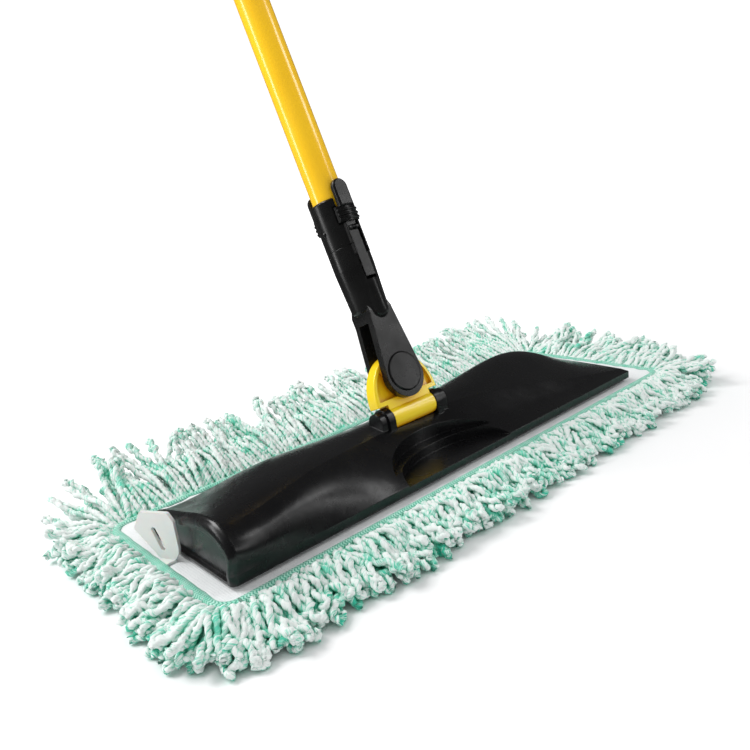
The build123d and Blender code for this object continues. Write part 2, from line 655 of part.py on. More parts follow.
def latch_bed():
    """The room the rear latch needs in the coupler, over its whole travel."""
    low = SOCKET_TOP + COUPLER_GAP / 2
    bed_half = LATCH_WIDTH / 2 + RAIL_GAP
    ear_half = THUMB_EAR_WIDTH / 2 + RAIL_GAP
    pad_half = PAD_HALF_WIDTH + RAIL_GAP
    above = COUPLER_TOP + PASS
    pad_low, pad_high = PAD_RANGE
    bed = block((-bed_half, bed_half), (LATCH_BED, REACH), (low, LATCH_TOP + LATCH_ROOM))
    bed += block((-bed_half, bed_half), (SPIGOT_RADIUS - SPIGOT_WALL, REACH), WINDOW)
    bed += block((-ear_half, ear_half), (TUBE_RADIUS - PASS, REACH), (pad_high - PASS, above))
    pad_room = block((-pad_half, pad_half), (0, REACH), (pad_low - PASS, pad_high + LATCH_ROOM))
    return bed + (pad_room - upright(PAD_BED_RADIUS, 0, above))


def make_coupler():
    """Sleeve fixed on the tube, with a spigot below and beds for the two latches."""
    low = SOCKET_TOP + COUPLER_GAP / 2
    sleeve = upright(SOCKET_RADIUS, low, COUPLER_TOP)
    sleeve = chamfer(sleeve.edges().sort_by(Axis.Z)[-1], COUPLER_BEVEL)
    coupler = sleeve + upright(SPIGOT_RADIUS, SPIGOT_BOTTOM, low)
    for turn in (0, 180):
        coupler -= Rot(0, 0, turn) * latch_bed()
    coupler += rails(low, PAD_RANGE[0] - PASS)
    coupler -= upright(TUBE_RADIUS, TUBE_BOTTOM, COUPLER_TOP + PASS)
    coupler -= upright(SPIGOT_RADIUS - SPIGOT_WALL, SPIGOT_BOTTOM - PASS, TUBE_BOTTOM)
    reach = LATCH_WIDTH / 2 + RAIL_GAP + RAIL_WIDTH - PIN_COVER
    pin = along_x(LATCH_PIN_RADIUS, -reach, reach, LATCH_PIVOT_OUT, LATCH_PIVOT)
    for turn in (0, 180):
        coupler -= Rot(0, 0, turn) * pin
    coupler -= along_x(RIVET_RADIUS, -REACH, REACH, 0, RIVET_HEIGHT)
    save("handle_coupler", HANDLE_PLACE * coupler)

    spring_place = (LATCH_PIVOT_OUT, LATCH_PIVOT)
    spring = along_x(SPRING_RADIUS, -SPRING_HALF, SPRING_HALF, *spring_place)
    spring -= along_x(SPRING_BORE, -SPRING_HALF, SPRING_HALF, *spring_place)
    for centre in COIL_GROOVES:
        ends = (centre - COIL_GROOVE_HALF, centre + COIL_GROOVE_HALF)
        ring = along_x(SPRING_RADIUS + PASS, *ends, *spring_place)
        spring -= ring - along_x(SPRING_RADIUS - COIL_GROOVE_DEPTH, *ends, *spring_place)
    sides = [HANDLE_PLACE * Rot(0, 0, turn) for turn in (0, 180)]
    save("latch_pins", [solid for side in sides for solid in (side * pin).solids()])
    save("latch_springs", [solid for side in sides for solid in (side * spring).solids()])

    rivet = along_x(RIVET_RADIUS, -SOCKET_RADIUS, SOCKET_RADIUS, 0, RIVET_HEIGHT)
    head_align = (Align.CENTER, Align.CENTER, Align.MIN)
    head = Cone(RIVET_HEAD_RADIUS, RIVET_RADIUS, RIVET_HEAD, align=head_align)
    for side in (-1, 1):
        rivet += Pos(side * SOCKET_RADIUS, 0, RIVET_HEIGHT) * Rot(0, side * 90, 0) * head
    save("coupler_rivet", HANDLE_PLACE * rivet)


def make_latch(name, turn):
    """One rocking release latch: thumb ear and ribbed pad above its pin, hook below it."""
    half = LATCH_WIDTH / 2
    pivot = (LATCH_PIVOT_OUT, LATCH_PIVOT)
    lever = block((-half, half), (LATCH_INNER, LATCH_OUTER), (LATCH_BOTTOM, LATCH_TOP))
    hook_span = (LATCH_BOTTOM + PASS, LATCH_HOOK_TOP)
    lever += block((-half, half), (LATCH_INNER - LATCH_HOOK, LATCH_INNER), hook_span)
    front = block((-PAD_HALF_WIDTH, PAD_HALF_WIDTH), (0, REACH), PAD_RANGE)
    inner, outer = PAD_RADII
    pad = upright(outer, *PAD_RANGE)
    for height in RIBS:
        rib = upright(RIB_RADIUS, height, height + RIB_HEIGHT)
        pad += chamfer(rib.edges().filter_by(GeomType.CIRCLE), RIB_BEVEL)
    lever += (pad & front) - upright(inner, 0, THUMB_EAR_TOP)
    lever += block((-half, half), (LATCH_OUTER - PASS, inner + PASS), (PAD_RANGE[0], LATCH_TOP))
    ear_inner, ear_outer = THUMB_EAR_RANGE
    corner = THUMB_EAR_WIDTH / 2 - 0.1
    height = THUMB_EAR_TOP - PAD_RANGE[1] + PASS
    outline = RectangleRounded(THUMB_EAR_WIDTH, 2 * height, corner)
    outline = Pos(0, THUMB_EAR_TOP - height) * outline
    outline &= Pos(0, THUMB_EAR_TOP - height / 2) * Rectangle(THUMB_EAR_WIDTH, height)
    ear = extrude(Plane.XZ.offset(-ear_inner) * outline, ear_inner - ear_outer)
    lever += fillet(ear.faces().sort_by(Axis.Y)[-1].edges(), THUMB_EAR_ROUNDING)
    lever += along_x(LATCH_BOSS_RADIUS, -half, half, *pivot)
    lever -= along_x(LATCH_PIN_RADIUS + RUNNING_FIT, -half, half, *pivot)
    lever -= along_x(LATCH_BOSS_RADIUS + RUNNING_FIT, -SPRING_GAP, SPRING_GAP, *pivot)
    save(name, HANDLE_PLACE * Rot(0, 0, turn) * lever)


# ---- the handle --------------------------------------------------------------------------
def make_handle():
    """Tube, grip and hang cap."""
    tube = upright(TUBE_RADIUS, TUBE_BOTTOM, TUBE_TOP)
    tube -= upright(TUBE_RADIUS - TUBE_WALL, TUBE_BOTTOM - PASS, TUBE_TOP + PASS)
    tube -= along_x(RIVET_RADIUS, -REACH, REACH, 0, RIVET_HEIGHT)
    save("handle_tube", HANDLE_PLACE * tube)

    grip = upright(GRIP_RADIUS, GRIP_BOTTOM, TUBE_TOP)
    grip = fillet(grip.edges().filter_by(GeomType.CIRCLE), GRIP_ROUNDING)
    grip -= upright(TUBE_RADIUS, GRIP_BOTTOM - PASS, TUBE_TOP + PASS)
    for groove in range(GRIP_GROOVES):
        low = GRIP_BOTTOM + GRIP_GROOVE_START + groove * GRIP_GROOVE_PITCH
        high = low + GRIP_GROOVE_WIDTH
        ring = upright(GRIP_RADIUS + PASS, low, high)
        grip -= ring - upright(GRIP_RADIUS - GRIP_GROOVE_DEPTH, low, high)
    save("handle_grip", HANDLE_PLACE * grip)

    plug_radius = TUBE_RADIUS - TUBE_WALL
    cap = upright(plug_radius, TUBE_TOP - HANG_PLUG_LENGTH, TUBE_TOP)
    cap += upright(GRIP_RADIUS, TUBE_TOP, TUBE_TOP + HANG_FLANGE)
    low_half, high_half = HANG_EYE_WIDTHS
    eye = make_face(
        Polyline(
            (-low_half, TUBE_TOP + HANG_EYE_BASE),
            (low_half, TUBE_TOP + HANG_EYE_BASE),
            (high_half, HANG_HOLE_HEIGHT),
            (-high_half, HANG_HOLE_HEIGHT),
            close=True,
        )
    )
    eye += Pos(0, HANG_HOLE_HEIGHT) * Circle(high_half)
    cap += extrude(Plane.XZ * eye, HANG_EYE_HALF, both=True)
    cap -= along_y(HANG_HOLE_RADIUS, -REACH, REACH, 0, HANG_HOLE_HEIGHT)
    save("hang_cap", HANDLE_PLACE * cap)


make_pad()
make_fringe()
make_tab()
make_frame()
make_end_cap()
make_hinge()
make_yoke()
make_fork()
make_pivot()
make_coupler()
make_latch("latch_front", 180)
make_latch("latch_rear", 0)
make_handle()
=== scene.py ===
import json
import math

import bpy
import numpy as np
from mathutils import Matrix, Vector


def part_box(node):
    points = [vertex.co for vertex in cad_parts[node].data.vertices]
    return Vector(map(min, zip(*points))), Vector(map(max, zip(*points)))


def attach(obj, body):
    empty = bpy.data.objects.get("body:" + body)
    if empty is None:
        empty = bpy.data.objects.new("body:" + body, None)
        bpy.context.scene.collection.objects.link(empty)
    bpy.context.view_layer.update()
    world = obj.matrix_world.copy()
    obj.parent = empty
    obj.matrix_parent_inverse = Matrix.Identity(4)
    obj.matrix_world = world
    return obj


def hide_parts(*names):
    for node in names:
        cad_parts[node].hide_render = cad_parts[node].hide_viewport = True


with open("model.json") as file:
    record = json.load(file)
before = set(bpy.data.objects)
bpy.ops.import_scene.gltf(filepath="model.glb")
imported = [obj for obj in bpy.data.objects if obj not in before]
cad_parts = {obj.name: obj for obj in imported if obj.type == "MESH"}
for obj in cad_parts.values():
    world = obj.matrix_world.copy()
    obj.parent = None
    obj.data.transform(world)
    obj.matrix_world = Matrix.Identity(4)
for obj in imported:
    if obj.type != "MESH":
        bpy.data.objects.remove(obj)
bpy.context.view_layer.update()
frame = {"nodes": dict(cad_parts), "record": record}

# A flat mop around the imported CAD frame.  The frame, swivel, coupler, handle and pull tab are
# the CAD nodes with finished materials; the pad's backing, core, binding, pile and fringe are
# built here.
# Metres throughout.  +X runs along the frame, -Y is the front, +Z is up from the floor.

NODES = frame["nodes"]
MM = 0.001
SEED = 20
rng = np.random.default_rng(SEED)


# ---- node trees ------------------------------------------------------------------------
class Finish:
    """One Principled material, with helpers for the nodes behind it."""

    def __init__(self, name, roughness, **settings):
        self.material = bpy.data.materials.new(name)
        self.material.use_nodes = True
        self.tree = self.material.node_tree
        self.shader = self.tree.nodes["Principled BSDF"]
        self.shader.inputs["Roughness"].default_value = roughness
        for socket, value in settings.items():
            self.shader.inputs[socket.replace("_", " ")].default_value = value
        self.place = self.tree.nodes.new("ShaderNodeTexCoord").outputs["Object"]

    def node(self, kind, links=(), **settings):
        made = self.tree.nodes.new("ShaderNode" + kind)
        for name, value in settings.items():
            setattr(made, name, value)
        for socket, source in links:
            if isinstance(source, bpy.types.NodeSocket):
                self.tree.links.new(source, made.inputs[socket])
            else:
                made.inputs[socket].default_value = source
        return made

    def feed(self, socket, source):
        self.tree.links.new(source, self.shader.inputs[socket])

    def noise(self, scale, detail=2.0, vector=None, distortion=0.0):
        place = self.place if vector is None else vector
        links = [("Vector", place), ("Scale", scale), ("Detail", detail)]
        links.append(("Distortion", distortion))
        return self.node("TexNoise", links).outputs["Fac"]

    def stretched(self, factors, source=None):
        """Coordinates scaled by a factor along each axis."""
        place = self.place if source is None else source
        return self.node("Mapping", [("Vector", place), ("Scale", factors)]).outputs["Vector"]

    def remap(self, value, low, high, to_low=0.0, to_high=1.0):
        links = [("Value", value), ("From Min", low), ("From Max", high)]
        links += [("To Min", to_low), ("To Max", to_high)]
        return self.node("MapRange", links).outputs["Result"]

    def mix(self, share, first, second):
        made = self.node("Mix", data_type="RGBA")
        for index, value in ((0, share), (6, first), (7, second)):
            if isinstance(value, bpy.types.NodeSocket):
                self.tree.links.new(value, made.inputs[index])
            else:
                made.inputs[index].default_value = value
        return made.outputs[2]

    def maths(self, operation, first, second=0.0):
        return self.node("Math", [(0, first), (1, second)], operation=operation).outputs[0]

    def bump(self, height, depth, strength=1.0, under=None):
        """Normal for a height field of 0 to 1 that is depth metres deep."""
        links = [("Height", height), ("Distance", depth), ("Strength", strength)]
        if under is not None:
            links.append(("Normal", under))
        return self.node("Bump", links).outputs["Normal"]

    def soft_edge(self, radius):
        return self.node("Bevel", [("Radius", radius)], samples=6).outputs["Normal"]

    def attribute(self, name, output="Fac"):
        return self.node("Attribute", attribute_name=name).outputs[output]


def rgb(red, green, blue):
    return (red, green, blue, 1.0)


def moulded_black(name, dark, light, roughness, edge):
    """Black moulded plastic: a fine spark-eroded grain, faint flow marks and worn edges."""
    made = Finish(name, roughness, Specular_IOR_Level=0.42)
    flow = made.noise(14.0, 4.0, distortion=0.6)
    made.feed("Base Color", made.mix(made.remap(flow, 0.35, 0.7), dark, light))
    wear = made.remap(made.noise(60.0, 5.0), 0.3, 0.75, roughness - 0.05, roughness + 0.08)
    made.feed("Roughness", wear)
    grain = made.noise(2600.0, 2.0)
    made.feed("Normal", made.bump(grain, 0.012 * MM, 0.5, made.soft_edge(edge)))
    return made.material


def moulded_yellow(name, body, pocket_shade):
    """Glossy yellow plastic, painted a deeper orange as shade where the surface is occluded, in
    its pockets and corners.
    """
    made = Finish(name, 0.2, Specular_IOR_Level=0.55, Coat_Weight=0.25, Coat_Roughness=0.08)
    occluded = made.node("AmbientOcclusion", [("Distance", 9 * MM)], samples=8).outputs["AO"]
    # Painted shade: ambient occlusion mixes the body colour into a deep orange in pockets and
    # corners.
    made.feed("Base Color", made.mix(made.remap(occluded, 0.35, 0.95), pocket_shade, body))
    ripple = made.noise(90.0, 3.0)
    made.feed("Normal", made.bump(ripple, 0.05 * MM, 0.4, made.soft_edge(0.7 * MM)))
    return made.material


def coated_tube(name, body, shade):
    """Powder-coated aluminium: a slight orange peel under a clear gloss, scuffed by use."""
    made = Finish(name, 0.24, Specular_IOR_Level=0.5, Coat_Weight=0.5, Coat_Roughness=0.06)
    cloud = made.noise(9.0, 4.0)
    made.feed("Base Color", made.mix(made.remap(cloud, 0.4, 0.8), body, shade))
    peel = made.noise(700.0, 2.0)
    scuffs = made.noise(40.0, 6.0, made.stretched((1.0, 1.0, 0.12)))
    made.feed("Roughness", made.remap(scuffs, 0.45, 0.8, 0.2, 0.34))
    made.feed("Normal", made.bump(peel, 0.004 * MM, 0.15))
    return made.material


def ribbed_rubber(name):
    made = Finish(name, 0.62, Specular_IOR_Level=0.3)
    tone = made.mix(made.noise(30.0, 4.0), rgb(0.012, 0.012, 0.012), rgb(0.03, 0.03, 0.03))
    made.feed("Base Color", tone)
    grain = made.noise(1500.0, 3.0)
    made.feed("Normal", made.bump(grain, 0.06 * MM, 0.8, made.soft_edge(0.6 * MM)))
    return made.material


def plated_steel(name, dark, light):
    made = Finish(name, 0.28, Metallic=1.0)
    lines = made.noise(300.0, 4.0, made.stretched((1.0, 8.0, 8.0)))
    made.feed("Base Color", made.mix(lines, dark, light))
    made.feed("Roughness", made.remap(lines, 0.3, 0.7, 0.22, 0.4))
    made.feed("Normal", made.bump(lines, 0.01 * MM, 0.5, made.soft_edge(0.25 * MM)))
    return made.material


def natural_nylon(name):
    made = Finish(name, 0.4, Subsurface_Weight=0.2, Subsurface_Scale=2 * MM)
    tone = made.mix(made.noise(50.0, 3.0), rgb(0.7, 0.69, 0.62), rgb(0.8, 0.79, 0.74))
    made.feed("Base Color", tone)
    grain = made.noise(900.0, 2.0)
    made.feed("Normal", made.bump(grain, 0.02 * MM, 0.5, made.soft_edge(0.3 * MM)))
    return made.material


def hook_tape(name):
    """Rows of short black hooks."""
    made = Finish(name, 0.85)
    cells = made.node("TexVoronoi", [("Vector", made.place), ("Scale", 900.0)])
    rows = cells.outputs["Distance"]
    made.feed("Base Color", made.mix(rows, rgb(0.01, 0.01, 0.01), rgb(0.05, 0.05, 0.052)))
    made.feed("Normal", made.bump(rows, 0.6 * MM, 1.0))
    return made.material


def napped_white(name):
    """Brushed white backing: a close nap over a faint knit."""
    made = Finish(name, 0.92, Sheen_Weight=0.35, Sheen_Roughness=0.5, Specular_IOR_Level=0.2)
    nap = made.noise(1100.0, 5.0, distortion=0.8)
    cloud = made.noise(45.0, 4.0)
    tone = made.mix(made.remap(cloud, 0.3, 0.75), rgb(0.83, 0.85, 0.86), rgb(0.72, 0.75, 0.76))
    made.feed("Base Color", made.mix(made.remap(nap, 0.35, 0.8), tone, rgb(0.9, 0.91, 0.91)))
    waves = made.node("TexWave", [("Vector", made.place), ("Scale", 190.0), ("Distortion", 1.5)])
    knit = made.bump(waves.outputs["Fac"], 0.12 * MM, 0.5)
    made.feed("Normal", made.bump(nap, 0.35 * MM, 0.8, knit))
    return made.material


def woven_mint(name):
    """Mint knitted tape: chevron stitches along the seam, with painted shade, a dark green,
    between them.
    """
    made = Finish(name, 0.85, Sheen_Weight=0.25, Specular_IOR_Level=0.2)
    knit = made.node("SeparateXYZ", [("Vector", made.attribute("knit", "Vector"))]).outputs
    slant = made.maths("ABSOLUTE", made.maths("SUBTRACT", made.maths("FRACT", knit["Y"]), 0.5))
    along = made.maths("FRACT", made.maths("ADD", knit["X"], slant))
    stitch = made.maths("SINE", made.maths("MULTIPLY", along, math.pi))
    blotch = made.noise(160.0, 3.0)
    light = made.mix(made.remap(blotch, 0.35, 0.7), rgb(0.28, 0.74, 0.56), rgb(0.55, 0.87, 0.75))
    # Painted shade: the dark green sits in the low ground between the stitches, where their relief
    # is lowest.
    made.feed("Base Color", made.mix(made.remap(stitch, 0.15, 0.8), rgb(0.06, 0.46, 0.31), light))
    made.feed("Normal", made.bump(stitch, 0.6 * MM, 0.9))
    return made.material


def white_moulding(name):
    """Flexible off-white plastic, slightly cloudy."""
    made = Finish(name, 0.42, Subsurface_Weight=0.25, Subsurface_Scale=3 * MM)
    tone = made.mix(made.noise(60.0, 3.0), rgb(0.68, 0.7, 0.68), rgb(0.78, 0.79, 0.77))
    made.feed("Base Color", tone)
    grain = made.noise(1200.0, 2.0)
    made.feed("Normal", made.bump(grain, 0.02 * MM, 0.6, made.soft_edge(0.5 * MM)))
    return made.material


def twisted_yarn(name):
    """Fluffy two-ply microfibre: white crests, and green that is partly the yarn's own and partly
    painted shade, in the grooves between the plies, in occluded gaps between loops and darker in
    lower layers.
    """
    made = Finish(name, 0.95, Sheen_Weight=0.3, Sheen_Roughness=0.5, Specular_IOR_Level=0.12)
    yarn = made.attribute("yarn", "Vector")
    tint = made.attribute("tint")
    depth = made.attribute("depth")
    fibres = made.noise(2.6, 4.0, made.stretched((1.5, 1.5, 1.0), yarn), 0.5)
    across = made.node("SeparateXYZ", [("Vector", yarn)]).outputs["X"]
    crest = made.maths("MULTIPLY", across, across)
    # Painted shade: the grooves between the plies are turned green, partly the yarn's own green
    # and partly the shade that falls in them.
    groove_shade = made.maths("MULTIPLY", made.maths("SUBTRACT", 1.0, crest), 0.35)
    patches = made.remap(made.noise(95.0, 2.0), 0.36, 0.66, -0.35, 0.6)
    speckle = made.noise(1.15, 3.0, made.stretched((1.7, 1.7, 1.0), yarn), 0.8)
    loose = made.maths("MULTIPLY", made.maths("SUBTRACT", speckle, 0.5), 2.6)
    # Painted shade: ambient occlusion turns the yarn green in the narrow gaps between loops and
    # strands.
    openness = made.node("AmbientOcclusion", [("Distance", 5 * MM)], samples=4).outputs["AO"]
    gap_shade = made.remap(openness, 0.2, 0.74, 1.05, 0.0)
    # The yarn's own green from tint, patches and loose fibres, summed with the painted shade in
    # the grooves and gaps.
    green_and_shade = made.maths("ADD", made.maths("ADD", groove_shade, tint), made.maths("ADD", patches, loose))
    share = made.remap(made.maths("ADD", green_and_shade, gap_shade), 0.5, 1.25)
    # Painted shade: the green is darker on loops deep in the fringe, by their depth.
    green = made.mix(depth, rgb(0.17, 0.76, 0.55), rgb(0.03, 0.56, 0.37))
    white = made.mix(made.remap(fibres, 0.3, 0.7), rgb(0.85, 0.965, 0.92), rgb(0.97, 0.985, 0.975))
    made.feed("Base Color", made.mix(share, white, green))
    made.feed("Normal", made.bump(fibres, 0.9 * MM, 0.8))
    return made.material


SHELL_BLACK = moulded_black(
    "shell_black", rgb(0.004, 0.004, 0.0045), rgb(0.007, 0.007, 0.0075), 0.26, 0.7 * MM
)
FITTING_BLACK = moulded_black(
    "fitting_black", rgb(0.004, 0.004, 0.004), rgb(0.009, 0.009, 0.009), 0.27, 0.6 * MM
)
PLATE_BLACK = moulded_black(
    "plate_black", rgb(0.015, 0.015, 0.015), rgb(0.025, 0.025, 0.025), 0.55, 0.4 * MM
)
# The second colour is the deep orange painted as shade in the yellow's pockets.
YELLOW = moulded_yellow("moulded_yellow", rgb(0.92, 0.67, 0.016), rgb(0.85, 0.36, 0.002))
TUBE = coated_tube("coated_tube", rgb(0.9, 0.54, 0.012), rgb(0.86, 0.47, 0.009))
RUBBER = ribbed_rubber("grip_rubber")
STEEL = plated_steel("plated_steel", rgb(0.42, 0.42, 0.43), rgb(0.66, 0.66, 0.68))
BLACK_STEEL = plated_steel("black_steel", rgb(0.015, 0.015, 0.016), rgb(0.05, 0.05, 0.052))
NYLON = natural_nylon("natural_nylon")
HOOKS = hook_tape("hook_tape")
BACKING = napped_white("napped_white")
BINDING = woven_mint("woven_mint")
TAB = white_moulding("white_moulding")
YARN = twisted_yarn("twisted_yarn")

CAD_FINISHES = {
    "shell_black": SHELL_BLACK,
    "black_plastic": FITTING_BLACK,
    "plate_black": PLATE_BLACK,
    "yellow_plastic": YELLOW,
    "yellow_tube": TUBE,
    "grip_rubber": RUBBER,
    "nylon": NYLON,
    "steel": STEEL,
    "hook_fastener": HOOKS,
    "white_backing": BACKING,
    "pad_felt": BACKING,
    "yarn": YARN,
    "green_binding": BINDING,
    "white_tab": TAB,
}
for row in frame["record"]["subparts"]:
    node = NODES[row["node"]]
    node.data.materials.clear()
    node.data.materials.append(CAD_FINISHES[row["material_slot"]])
for name in ("latch_pins", "latch_springs"):
    NODES[name].data.materials[0] = BLACK_STEEL


# ---- mesh helpers ----------------------------------------------------------------------
def new_piece(name, points, faces, material, smooth=True):
    mesh = bpy.data.meshes.new(name)
    mesh.from_pydata([tuple(p) for p in points], [], [tuple(f) for f in faces])
    mesh.materials.append(material)
    mesh.update()
    if smooth:
        mesh.polygons.foreach_set("use_smooth", [True] * len(mesh.polygons))
    made = bpy.data.objects.new(name, mesh)
    bpy.context.scene.collection.objects.link(made)
    return made


def tube_faces(rings, around, closed=False):
    """Quads between consecutive rings of `around` points."""
    faces = []
    steps = rings if closed else rings - 1
    for ring in range(steps):
        low = ring * around
        high = (ring + 1) % rings * around
        for k in range(around):
            nxt = (k + 1) % around
            faces.append((low + k, low + nxt, high + nxt, high + k))
    return np.array(faces)


# ---- the pad's outline -----------------------------------------------------------------
SEAM_LOW, SEAM_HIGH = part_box("pad_backing")
TOP = SEAM_HIGH.z
SEAM_HALF = Vector(((SEAM_HIGH.x - SEAM_LOW.x) / 2, (SEAM_HIGH.y - SEAM_LOW.y) / 2))
SEAM_MID = Vector(((SEAM_HIGH.x + SEAM_LOW.x) / 2, (SEAM_HIGH.y + SEAM_LOW.y) / 2))
SIDES = ("front", "right", "rear", "left")


def rounded_outline(half_x, half_y, radius, step):
    """Points and outward normals round a rounded rectangle, front side first."""
    straight_x, straight_y = 2 * (half_x - radius), 2 * (half_y - radius)
    quarter = math.pi / 2 * radius
    runs = [straight_x, quarter, straight_y, quarter, straight_x, quarter, straight_y, quarter]
    total = sum(runs)
    count = max(8, round(total / step))
    starts = [(-1, -1), None, (1, -1), None, (1, 1), None, (-1, 1), None]
    directions = [(1, 0), None, (0, 1), None, (-1, 0), None, (0, -1), None]
    corners = {1: (1, -1, -90), 3: (1, 1, 0), 5: (-1, 1, 90), 7: (-1, -1, 180)}
    points, normals = [], []
    for k in range(count):
        along = total * k / count
        run = 0
        while along > runs[run]:
            along -= runs[run]
            run += 1
        if run in corners:
            sx, sy, first = corners[run]
            angle = math.radians(first + 90 * along / quarter)
            normal = (math.cos(angle), math.sin(angle))
            centre = (sx * (half_x - radius), sy * (half_y - radius))
            points.append((centre[0] + radius * normal[0], centre[1] + radius * normal[1]))
        else:
            dx, dy = directions[run]
            normal = (dy, -dx)
            sx, sy = starts[run]
            x = sx * (half_x - radius) if dx else sx * half_x
            y = sy * (half_y - radius) if dy else sy * half_y
            points.append((x + dx * along, y + dy * along))
        normals.append(normal)
    return np.array(points), np.array(normals)


# ---- yarn ------------------------------------------------------------------------------
YARN_RADIUS = 2.05 * MM
YARN_AROUND = 10
RING_STEP = 1.35 * MM
PLY_PITCH = 9.0 * MM
# How deep the two plies part, and how far fibres, knobs and crimp roughen a strand.
LOBE = 0.16
FUZZ = 0.09
KNOB = 0.12
KNOB_LENGTH = 1.6 * MM
CRIMP = 0.9 * MM
CRIMP_LENGTH = 13.0 * MM
LOOP_STEPS = 40
FLOOR_GAP = 0.15 * MM
TUFT_PITCH = 8.0 * MM
TUFT_WIDTH = 2.9 * MM
TUFT_INSET = 3.0 * MM
TUFT_STEPS = 9
SEAM_CORNER = 10 * MM
TAPE_LOW, TAPE_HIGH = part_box("pad_binding")
TAPE_WIDTH = SEAM_LOW.x - TAPE_LOW.x
REACH = {
    "front": TAPE_LOW.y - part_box("fringe_front")[0].y,
    "right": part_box("fringe_right")[1].x - TAPE_HIGH.x,
    "rear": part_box("fringe_rear")[1].y - TAPE_HIGH.y,
    "left": TAPE_LOW.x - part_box("fringe_left")[0].x,
}
# Height of the loops' tips over the floor, for the top layer of each side.
TIP_HEIGHT = {"front": 7 * MM, "right": 26 * MM, "rear": 38 * MM, "left": 10 * MM}
# Layers of loops from the top down: drop of the root under the tape's top, rise after it,
# share of the reach, share of the tip's height, spacing of the loops, greenness, its depth.
# Greenness is partly the yarn's own green and partly painted shade, higher in lower layers;
# depth sets how dark that green is painted as shade.
LAYER_KEYS = ("drop", "rise", "reach", "tip", "spacing", "tint", "depth")
LAYER_ROWS = [
    (4.5 * MM, 4.5 * MM, 0.97, 1.0, 5.6 * MM, 0.0, 0.2),
    (7.0 * MM, 2.0 * MM, 0.93, 0.5, 5.8 * MM, 0.16, 0.55),
    (9.5 * MM, 0.5 * MM, 1.0, 0.05, 6.2 * MM, 0.34, 0.9),
]
LAYERS = [dict(zip(LAYER_KEYS, row)) for row in LAYER_ROWS]


def smooth_noise(points, wavelength, seed):
    """Smooth pseudo-random values of about -1 to 1 over 2-D points."""
    local = np.random.default_rng(seed)
    total = np.zeros(len(points))
    for _ in range(5):
        angle = local.uniform(0, 2 * math.pi)
        turn = 2 * math.pi / (wavelength * local.uniform(0.6, 1.6))
        across = points[:, 0] * math.cos(angle) + points[:, 1] * math.sin(angle)
        total += np.sin(across * turn + local.uniform(0, 2 * math.pi))
    return total / 2.6


def loop_centreline(root, out, reach, tip_z, layer, twist, wander):
    """Both legs of one loop, twisted about each other, as points in space from root to root."""
    side = np.array([-out[1], out[0], 0.0])
    out = np.array([out[0], out[1], 0.0])
    up = np.array([0.0, 0.0, 1.0])
    turn = np.linspace(0, math.pi, 2 * LOOP_STEPS + 1)
    share = np.sin(turn)
    leg = np.where(turn <= math.pi / 2, 1.0, -1.0)
    open_end = np.sqrt(np.clip(1 - share**6, 0, 1))
    rise = layer["rise"] * wander["rise"] * np.sin(math.pi * np.clip(share / 0.62, 0, 1))
    height = rise + (tip_z - root[2]) * share ** wander["fall"]
    sway = wander["sway"] * np.sin(share * wander["sway_turns"] + wander["phase"]) * share
    curl = wander["curl"] * share**2
    offset = leg * open_end * (YARN_RADIUS * 0.95 + wander["open"] * share**2)
    angle = wander["start"] + twist * share
    line = root + np.outer(reach * share, out) + np.outer(sway + curl, side) + np.outer(height, up)
    line += np.outer(offset * np.cos(angle), side) + np.outer(offset * np.sin(angle) * 0.8, up)
    for direction, phase in zip((side, up, out), wander["crimp"]):
        wave = np.sin(turn / math.pi * 2 * reach / CRIMP_LENGTH * 2 * math.pi + phase)
        line += np.outer(CRIMP * wave * share, direction)
    line[:, 2] = np.maximum(line[:, 2], YARN_RADIUS * 0.95)
    return line


def resampled(line, step):
    gaps = np.linalg.norm(np.diff(line, axis=0), axis=1)
    along = np.concatenate([[0], np.cumsum(gaps)])
    count = max(6, int(round(along[-1] / step)))
    at = np.linspace(0, along[-1], count + 1)
    return np.stack([np.interp(at, along, line[:, k]) for k in range(3)], axis=1), at


def yarn_rings(line, at, pitch, phase, fluff):
    """A two-lobed section carried along the line, turning once per pitch."""
    forward = np.gradient(line, axis=0)
    forward /= np.linalg.norm(forward, axis=1)[:, None] + 1e-12
    first = np.cross(forward, [0.0, 0.0, 1.0])
    first /= np.linalg.norm(first, axis=1)[:, None] + 1e-9
    second = np.cross(forward, first)
    around = np.linspace(0, 2 * math.pi, YARN_AROUND, endpoint=False)
    turned = around[None, :] - (2 * math.pi * at / pitch + phase)[:, None]
    radius = YARN_RADIUS * (0.96 + LOBE * np.cos(2 * turned)) * fluff
    points = (
        line[:, None, :]
        + (radius * np.cos(around))[:, :, None] * first[:, None, :]
        + (radius * np.sin(around))[:, :, None] * second[:, None, :]
    )
    length = np.broadcast_to(at[:, None] / (4 * MM), turned.shape)
    yarn = np.stack([np.cos(turned), np.sin(turned), length], 2)
    return points.reshape(-1, 3), yarn.reshape(-1, 3)


def side_of(point):
    x, y = point[0] / SEAM_HALF.x, point[1] / SEAM_HALF.y
    ends = {"front": -y, "rear": y, "left": -x * 1.001, "right": x * 1.001}
    return max(ends, key=ends.get)


def by_side(values, normal):
    """A value that goes smoothly from one side's to the next round the corners."""
    across = "right" if normal[0] > 0 else "left"
    deep = "rear" if normal[1] > 0 else "front"
    return values[across] * normal[0] ** 2 + values[deep] * normal[1] ** 2


